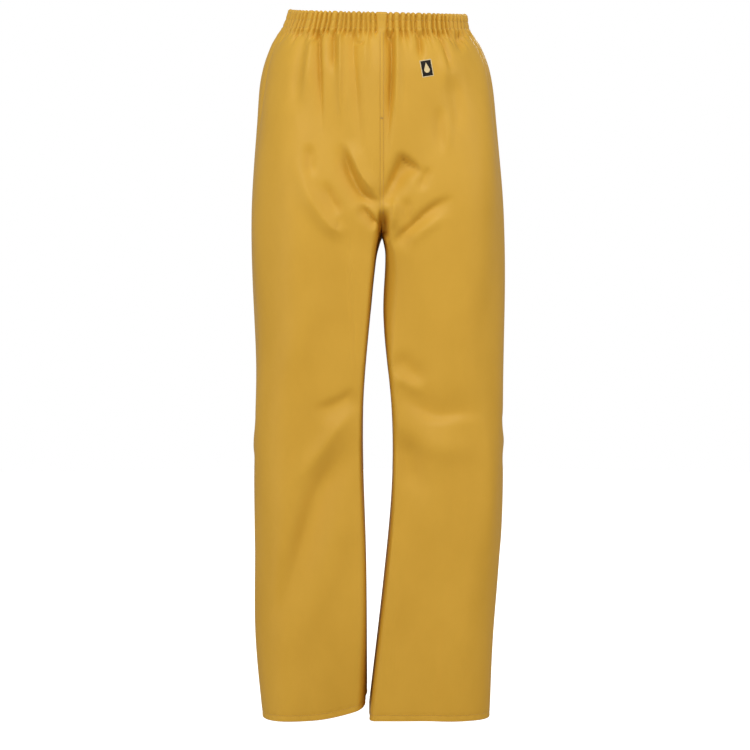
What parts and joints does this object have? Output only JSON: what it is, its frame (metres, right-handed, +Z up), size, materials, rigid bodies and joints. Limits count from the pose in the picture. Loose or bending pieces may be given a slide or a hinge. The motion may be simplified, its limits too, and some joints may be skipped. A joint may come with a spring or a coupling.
{
  "type": "waterproof over-trousers",
  "caption": "Plain waterproof over-trousers in coated cloth: elastic waist, centre seam, wide straight legs that swing at the hips and bend at the knees, and a small front badge.",
  "frame": {"origin": "centre of the waist opening, level with the top of the waistband at the wearer's sides", "axes": "+Z up the body, -Y to the front, +X to the wearer's left; the legs run down -Z"},
  "size_m": [0.3779, 0.2699, 1.0611],
  "materials": {
    "coated_cloth": "satin PVC coating outside, knitted backing inside",
    "seam_tape": "matt sealing tape",
    "elastic": "knitted elastic band",
    "badge_dark": "semi-gloss welded film",
    "badge_pale": "satin welded film",
    "thread": "polyester sewing thread",
    "label": "white satin ribbon"
  },
  "bodies": {
    "seat": {"waist_casing_left": "coated_cloth", "waist_casing_right": "coated_cloth", "seat_panel_left": "coated_cloth", "seat_panel_right": "coated_cloth", "hip_cloth_left": "coated_cloth", "hip_cloth_right": "coated_cloth", "waist_elastic": "elastic", "front_seam_lap": "coated_cloth", "back_seam_lap": "coated_cloth", "front_seam_tape": "seam_tape", "back_seam_tape": "seam_tape", "crotch_patch": "seam_tape", "hip_seam_tape_left": "seam_tape", "hip_seam_tape_right": "seam_tape", "badge_field": "badge_dark", "badge_border": "badge_pale", "badge_drop": "badge_pale", "care_label": "label", "waist_stitching_upper": "thread", "waist_stitching_middle": "thread", "waist_stitching_lower": "thread", "front_seam_stitching": "thread", "back_seam_stitching": "thread"},
    "thigh_left": {"thigh_panel_left": "coated_cloth", "knee_cloth_left": "coated_cloth", "thigh_seam_tape_left": "seam_tape", "knee_seam_tape_left": "seam_tape"},
    "shin_left": {"shin_panel_left": "coated_cloth", "hem_turn_up_left": "coated_cloth", "shin_seam_tape_left": "seam_tape", "hem_stitching_left": "thread"},
    "thigh_right": {"thigh_panel_right": "coated_cloth", "knee_cloth_right": "coated_cloth", "thigh_seam_tape_right": "seam_tape", "knee_seam_tape_right": "seam_tape"},
    "shin_right": {"shin_panel_right": "coated_cloth", "hem_turn_up_right": "coated_cloth", "shin_seam_tape_right": "seam_tape", "hem_stitching_right": "thread"}
  },
  "joints": [
    {"name": "hip_swing_left", "type": "hinge", "parent": "seat", "child": "thigh_left", "pos_m": [0.096, 0.0007, -0.42], "axis": [-1, 0, 0], "range_deg": [-15, 50], "deforming": ["hip_cloth_left", "hip_seam_tape_left"]},
    {"name": "knee_bend_left", "type": "hinge", "parent": "thigh_left", "child": "shin_left", "pos_m": [0.096, 0.0007, -0.645], "axis": [1, 0, 0], "range_deg": [0, 60], "deforming": ["knee_cloth_left", "knee_seam_tape_left"]},
    {"name": "hip_swing_right", "type": "hinge", "parent": "seat", "child": "thigh_right", "pos_m": [-0.098, 0.0007, -0.42], "axis": [-1, 0, 0], "range_deg": [-15, 50], "deforming": ["hip_cloth_right", "hip_seam_tape_right"]},
    {"name": "knee_bend_right", "type": "hinge", "parent": "thigh_right", "child": "shin_right", "pos_m": [-0.098, 0.0007, -0.645], "axis": [1, 0, 0], "range_deg": [0, 60], "deforming": ["knee_cloth_right", "knee_seam_tape_right"]}
  ]
}
